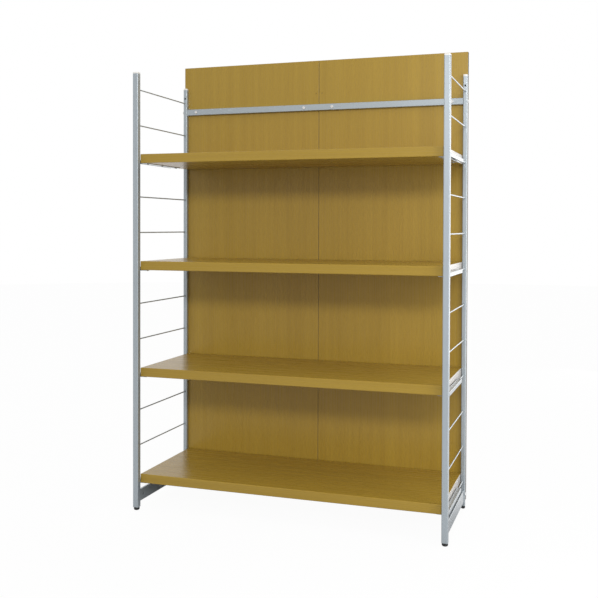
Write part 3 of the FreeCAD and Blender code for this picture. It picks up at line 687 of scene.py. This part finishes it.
class SHELVING_OT_caps_and_feet(bpy.types.Operator):
    """Dress the end caps and the levelling feet and make their threaded studs"""

    bl_idname = "shelving.caps_and_feet"
    bl_label = "Caps and feet"
    # Points of the thread in one turn, its ridge's height as a share of the thread's depth, and
    # the plain length at each end of the stud and the radius that its tip loses, in depths.
    points_per_turn = 20
    ridge_share = 0.98
    plain_depths = 2
    tip_depths = 1.5

    def execute(self, context):
        for corner in POSTS:
            dress(f"{corner}_post_cap", "white_plastic")
            dress(f"{corner}_foot_insert", "black_plastic")
            dress(f"{corner}_foot_pad", "black_plastic")
            self.make_stud(corner, context.scene.shelving_sizes)
        return {"FINISHED"}

    def make_stud(self, corner, sizes):
        """A threaded stud in place of the plain one."""
        node = f"{corner}_foot_stud"
        low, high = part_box(node)
        radius = (high.x - low.x) / 2
        length = high.z - low.z
        depth = sizes.thread_depth
        centre = Vector(((low.x + high.x) / 2, (low.y + high.y) / 2, low.z))
        core_radius = radius - depth
        tip_radius = radius - self.tip_depths * depth
        core = ring_mesh("stud_core", (
            (0, tip_radius, False), (depth, core_radius, False),
            (length - depth, core_radius, False), (length, tip_radius, False),
        ), sizes.round_sides)
        core.transform(Matrix.Translation(centre))
        plain = self.plain_depths * depth
        run = length - 2 * plain
        turns = run / sizes.thread_pitch
        stud = through_nodes(core, thread_tree(), {
            "Turns": turns, "Points": int(turns * self.points_per_turn), "Radius": core_radius,
            "Length": run, "Ridge": depth * self.ridge_share,
            "Place": tuple(centre + Vector((0, 0, plain))), "Material": finish("zinc_steel"),
        })
        shade(stud)
        new_piece(f"{corner}_threaded_stud", stud, f"{corner}_foot", "zinc_steel", node)


class SHELVING_OT_crossbars(bpy.types.Operator):
    """Dress the crossbars and make the bolts that hold them"""

    bl_idname = "shelving.crossbars"
    bl_label = "Crossbars and bolts"

    def execute(self, context):
        sizes = context.scene.shelving_sizes
        for level in ("upper", "lower"):
            dress(f"{level}_crossbar", "painted_steel")
        dress("crossbar_end_plugs", "zinc_steel")
        node = "crossbar_bolts"
        low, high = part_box(node)
        post_low, post_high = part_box("right_rear_post")
        head_radius = (high.y - low.y) / 2
        head_height = high.x - post_high.x
        lower, upper = crossbar_heights()
        shank = post_high.x - post_low.x + sizes.bolt_bite
        rows = []
        for sign in (-1, 1):
            bolt = dome_screw("bolt", head_radius, head_height, sizes.bolt_radius, shank)
            turn_mesh(bolt, "Y", 90 * sign)
            rows.append(through_nodes(bolt, copies_tree(), {
                "First place": (sign * post_high.x, (low.y + high.y) / 2, lower),
                "Columns": 1, "Column step": (0, 0, 0),
                "Rows": 2, "Row step": (0, 0, upper - lower),
                "Material": finish("zinc_steel"),
            }))
        new_piece("crossbar_button_bolts", join_meshes("button_bolts", rows), "frame", "zinc_steel", node)
        return {"FINISHED"}


class SHELVING_OT_back_panels(bpy.types.Operator):
    """Dress both back panels and make their screws"""

    bl_idname = "shelving.back_panels"
    bl_label = "Back panels and screws"
    # Metres of the printed pattern from one panel to the next.
    seed_step = 3.3

    def execute(self, context):
        for index, side in enumerate(SIDES):
            grained_board(f"{side}_back_panel", Z_AXIS, index * self.seed_step, "panel_band")
        node = "panel_screws"
        low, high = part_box(node)
        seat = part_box("upper_crossbar")[0].y
        lower, upper = crossbar_heights()
        head_radius = high.z - upper
        panel_low, panel_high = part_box("right_back_panel")
        outer = high.x - head_radius
        inner = panel_low.x + panel_high.x - outer
        rows = []
        for first in (-outer, inner):
            screw = dome_screw("panel_screw", head_radius, seat - low.y,
                               context.scene.shelving_sizes.screw_radius, high.y - seat)
            turn_mesh(screw, "X", 90)
            rows.append(through_nodes(screw, copies_tree(), {
                "First place": (first, seat, lower),
                "Columns": 2, "Column step": (outer - inner, 0, 0),
                "Rows": 2, "Row step": (0, 0, upper - lower),
                "Material": finish("zinc_steel"),
            }))
        new_piece("panel_button_screws", join_meshes("button_screws", rows), "frame", "zinc_steel", node)
        return {"FINISHED"}


class SHELVING_OT_shelves(bpy.types.Operator):
    """Dress the shelf boards, the hook rails and the hook rails' screws"""

    bl_idname = "shelving.shelves"
    bl_label = "Shelves and hook rails"
    # Metres of the printed pattern up to the first shelf and from one shelf to the next.
    first_seed = 1.1
    seed_step = 2.3

    def execute(self, context):
        for index, shelf in enumerate(SHELVES):
            seed = self.first_seed + index * self.seed_step
            # A shelf's ends that face the sides get a painted light.
            grained_board(f"{shelf}_shelf", X_AXIS, seed, "shelf_band")
            for side in SIDES:
                dress(f"{shelf}_shelf_{side}_hook_rail", "painted_steel")
            dress(f"{shelf}_shelf_hook_screws", "zinc_steel")
        return {"FINISHED"}


# The stage.


# The camera's place in metres, its heading, tilt and roll in radians, its focal length and
# its image centre in pixels of a square frame, as measured from the rungs and posts.
CAMERA_PLACE = Vector((1.0712, -3.1963, 1.0839))
CAMERA_HEADING = math.radians(-18.533)
CAMERA_TILT = math.radians(-1.047)
CAMERA_ROLL = math.radians(0.175)
CAMERA_FOCUS = 880.1
CAMERA_CENTRE = (301.84, 242.94)
FRAME_PIXELS = 598
# The camera's sensor width in millimetres, which scales the lens and changes nothing else.
SENSOR = 36.0
FLOOR_RADIUS = 14
FLOOR_SIDES = 96
# How much the width and the depth count in a floor point's distance from the unit's middle,
# and the distances up to which and from which what mirrors the floor sees it dark and white.
FLOOR_STRETCH = (1.4, 2.6, 1)
FLOOR_DARK_END = 0.8
FLOOR_WHITE_START = 1.3
FLOOR_DARKEST = 0.05
# Share of the floor's white that glows. The rest is lit and keeps the unit's shadow.
FLOOR_GLOW = 0.96
# Each lamp's name, place, aim, width and height in metres, and the setting of its power.
LAMPS = (
    ("key_lamp", (1.4, -4.4, 2.5), (0, 0, 1.0), 1.8, 0.5, "key"),
    ("side_lamp", (1.45, -0.6, 1.0), (0.6, -0.2, 0.9), 0.7, 2.2, "side"),
    ("rim_lamp", (1.6, 3.6, 1.0), (0.6, 0, 0.9), 1.6, 2.4, "rim"),
)


def add_camera(scene):
    """The camera at the measured place, with the measured lens and shift."""
    forward = Vector((
        math.sin(CAMERA_HEADING) * math.cos(CAMERA_TILT),
        math.cos(CAMERA_HEADING) * math.cos(CAMERA_TILT),
        math.sin(CAMERA_TILT),
    ))
    level = Vector((math.cos(CAMERA_HEADING), -math.sin(CAMERA_HEADING), 0))
    upright = level.cross(forward)
    right = level * math.cos(CAMERA_ROLL) + upright * math.sin(CAMERA_ROLL)
    up = upright * math.cos(CAMERA_ROLL) - level * math.sin(CAMERA_ROLL)
    turn = Matrix((right, up, -forward)).transposed()
    data = bpy.data.cameras.new("photo_camera")
    data.sensor_width = SENSOR
    data.lens = SENSOR * CAMERA_FOCUS / FRAME_PIXELS
    data.shift_x = (FRAME_PIXELS / 2 - CAMERA_CENTRE[0]) / FRAME_PIXELS
    data.shift_y = (CAMERA_CENTRE[1] - FRAME_PIXELS / 2) / FRAME_PIXELS
    camera = bpy.data.objects.new("photo_camera", data)
    camera.matrix_world = Matrix.Translation(CAMERA_PLACE) @ turn.to_4x4()
    scene.collection.objects.link(camera)
    scene.camera = camera


def seen_directly(tree, mirrored=1.0):
    """One for camera rays, a share for mirror and see-through rays, and nothing for the rest."""
    rays = add_node(tree, "ShaderNodeLightPath").outputs
    either = add_node(tree, "ShaderNodeMath", {
        0: rays["Is Glossy Ray"], 1: rays["Is Transmission Ray"],
    }, operation="MAXIMUM")
    shown = add_node(tree, "ShaderNodeMath", {0: either.outputs["Value"], 1: mirrored}, operation="MULTIPLY")
    return add_node(tree, "ShaderNodeMath", {
        0: rays["Is Camera Ray"], 1: shown.outputs["Value"],
    }, operation="MAXIMUM").outputs["Value"]


def add_world(scene, strength):
    """White surroundings, at full white only where they are seen."""
    world = bpy.data.worlds.new("white_studio")
    world.use_nodes = True
    tree = world.node_tree
    tree.nodes.clear()
    level = add_node(tree, "ShaderNodeMapRange", {
        "Value": seen_directly(tree), "To Min": strength, "To Max": 1.0,
    })
    background = add_node(tree, "ShaderNodeBackground", {
        "Color": (1, 1, 1, 1), "Strength": level.outputs["Result"],
    })
    add_node(tree, "ShaderNodeOutputWorld", {"Surface": background.outputs["Background"]})
    scene.world = world


def add_floor(scene, colours):
    """Wide white floor that keeps the unit's soft shadow.

    What mirrors the floor under the unit sees it dark, as it is where the unit shades it.
    """
    shape = bmesh.new()
    bmesh.ops.create_circle(shape, cap_ends=True, segments=FLOOR_SIDES, radius=FLOOR_RADIUS)
    mesh = bpy.data.meshes.new("floor")
    shape.to_mesh(mesh)
    shape.free()
    material, tree = new_material("white_painted_studio_floor")
    place = add_node(tree, "ShaderNodeTexCoord").outputs["Object"]
    under = add_node(tree, "ShaderNodeMapping", {"Vector": place, "Scale": FLOOR_STRETCH})
    away = add_node(tree, "ShaderNodeVectorMath", {0: under.outputs["Vector"]}, operation="LENGTH")
    open_floor = add_node(tree, "ShaderNodeMapRange", {
        "Value": away.outputs["Value"], "From Min": FLOOR_DARK_END, "From Max": FLOOR_WHITE_START,
        "To Min": FLOOR_DARKEST, "To Max": 1.0,
    })
    seen = seen_directly(tree, open_floor.outputs["Result"])
    tone = add_node(tree, "ShaderNodeMix", {
        "Factor": seen, "A": colours.floor_bounce, "B": colours.floor,
    }, data_type="RGBA")
    lit = add_node(tree, "ShaderNodeBsdfDiffuse", {"Color": tone.outputs["Result"]})
    white = add_node(tree, "ShaderNodeEmission", {"Color": (1, 1, 1, 1), "Strength": 1.0})
    part = add_node(tree, "ShaderNodeMath", {0: seen, 1: FLOOR_GLOW}, operation="MULTIPLY")
    mixed = add_node(tree, "ShaderNodeMixShader", {
        "Fac": part.outputs["Value"], 1: lit.outputs["BSDF"], 2: white.outputs["Emission"],
    })
    close_material(tree, mixed)
    mesh.materials.append(material)
    floor = bpy.data.objects.new("floor", mesh)
    scene.collection.objects.link(floor)


def add_lamp(scene, name, place, aim, width, height, power):
    """Large soft lamp at a place, turned towards a point."""
    data = bpy.data.lights.new(name, "AREA")
    data.shape = "RECTANGLE"
    data.size = width
    data.size_y = height
    data.energy = power
    lamp = bpy.data.objects.new(name, data)
    turn = (Vector(aim) - Vector(place)).to_track_quat("-Z", "Y").to_matrix()
    lamp.matrix_world = Matrix.Translation(place) @ turn.to_4x4()
    scene.collection.objects.link(lamp)


class SHELVING_OT_stage(bpy.types.Operator):
    """Make the floor, the white surroundings, the lamps and the camera"""

    bl_idname = "shelving.stage"
    bl_label = "Stage"

    def execute(self, context):
        scene = context.scene
        light = scene.shelving_light
        scene.view_settings.view_transform = "Standard"
        add_camera(scene)
        add_world(scene, light.surround)
        add_floor(scene, scene.shelving_colours)
        for name, place, aim, width, height, setting in LAMPS:
            add_lamp(scene, name, place, aim, width, height, getattr(light, setting))
        return {"FINISHED"}


class SHELVING_PT_sidebar(bpy.types.Panel):
    """Lists the steps and their settings in the sidebar"""

    bl_label = "Shelving unit"
    bl_idname = "SHELVING_PT_sidebar"
    bl_space_type = "VIEW_3D"
    bl_region_type = "UI"
    bl_category = "Shelving"

    def draw(self, context):
        layout = self.layout
        scene = context.scene
        for operator in OPERATORS:
            layout.operator(operator.bl_idname)
        for settings in (scene.shelving_sizes, scene.shelving_colours, scene.shelving_light):
            for name in settings.__annotations__:
                layout.prop(settings, name)


OPERATORS = (
    SHELVING_OT_side_frames, SHELVING_OT_caps_and_feet, SHELVING_OT_crossbars, SHELVING_OT_back_panels,
    SHELVING_OT_shelves, SHELVING_OT_stage,
)
CLASSES = (ShelvingSizes, ShelvingColours, ShelvingLight, *OPERATORS, SHELVING_PT_sidebar)


def register():
    """Registers the classes and the scene's settings."""
    for item in CLASSES:
        bpy.utils.register_class(item)
    bpy.types.Scene.shelving_sizes = PointerProperty(type=ShelvingSizes)
    bpy.types.Scene.shelving_colours = PointerProperty(type=ShelvingColours)
    bpy.types.Scene.shelving_light = PointerProperty(type=ShelvingLight)


def unregister():
    """Removes what register added."""
    del bpy.types.Scene.shelving_light
    del bpy.types.Scene.shelving_colours
    del bpy.types.Scene.shelving_sizes
    for item in reversed(CLASSES):
        bpy.utils.unregister_class(item)


def main():
    """Builds the whole scene."""
    register()
    for operator in OPERATORS:
        group, name = operator.bl_idname.split(".")
        getattr(getattr(bpy.ops, group), name)()


if __name__ == "__main__":
    main()
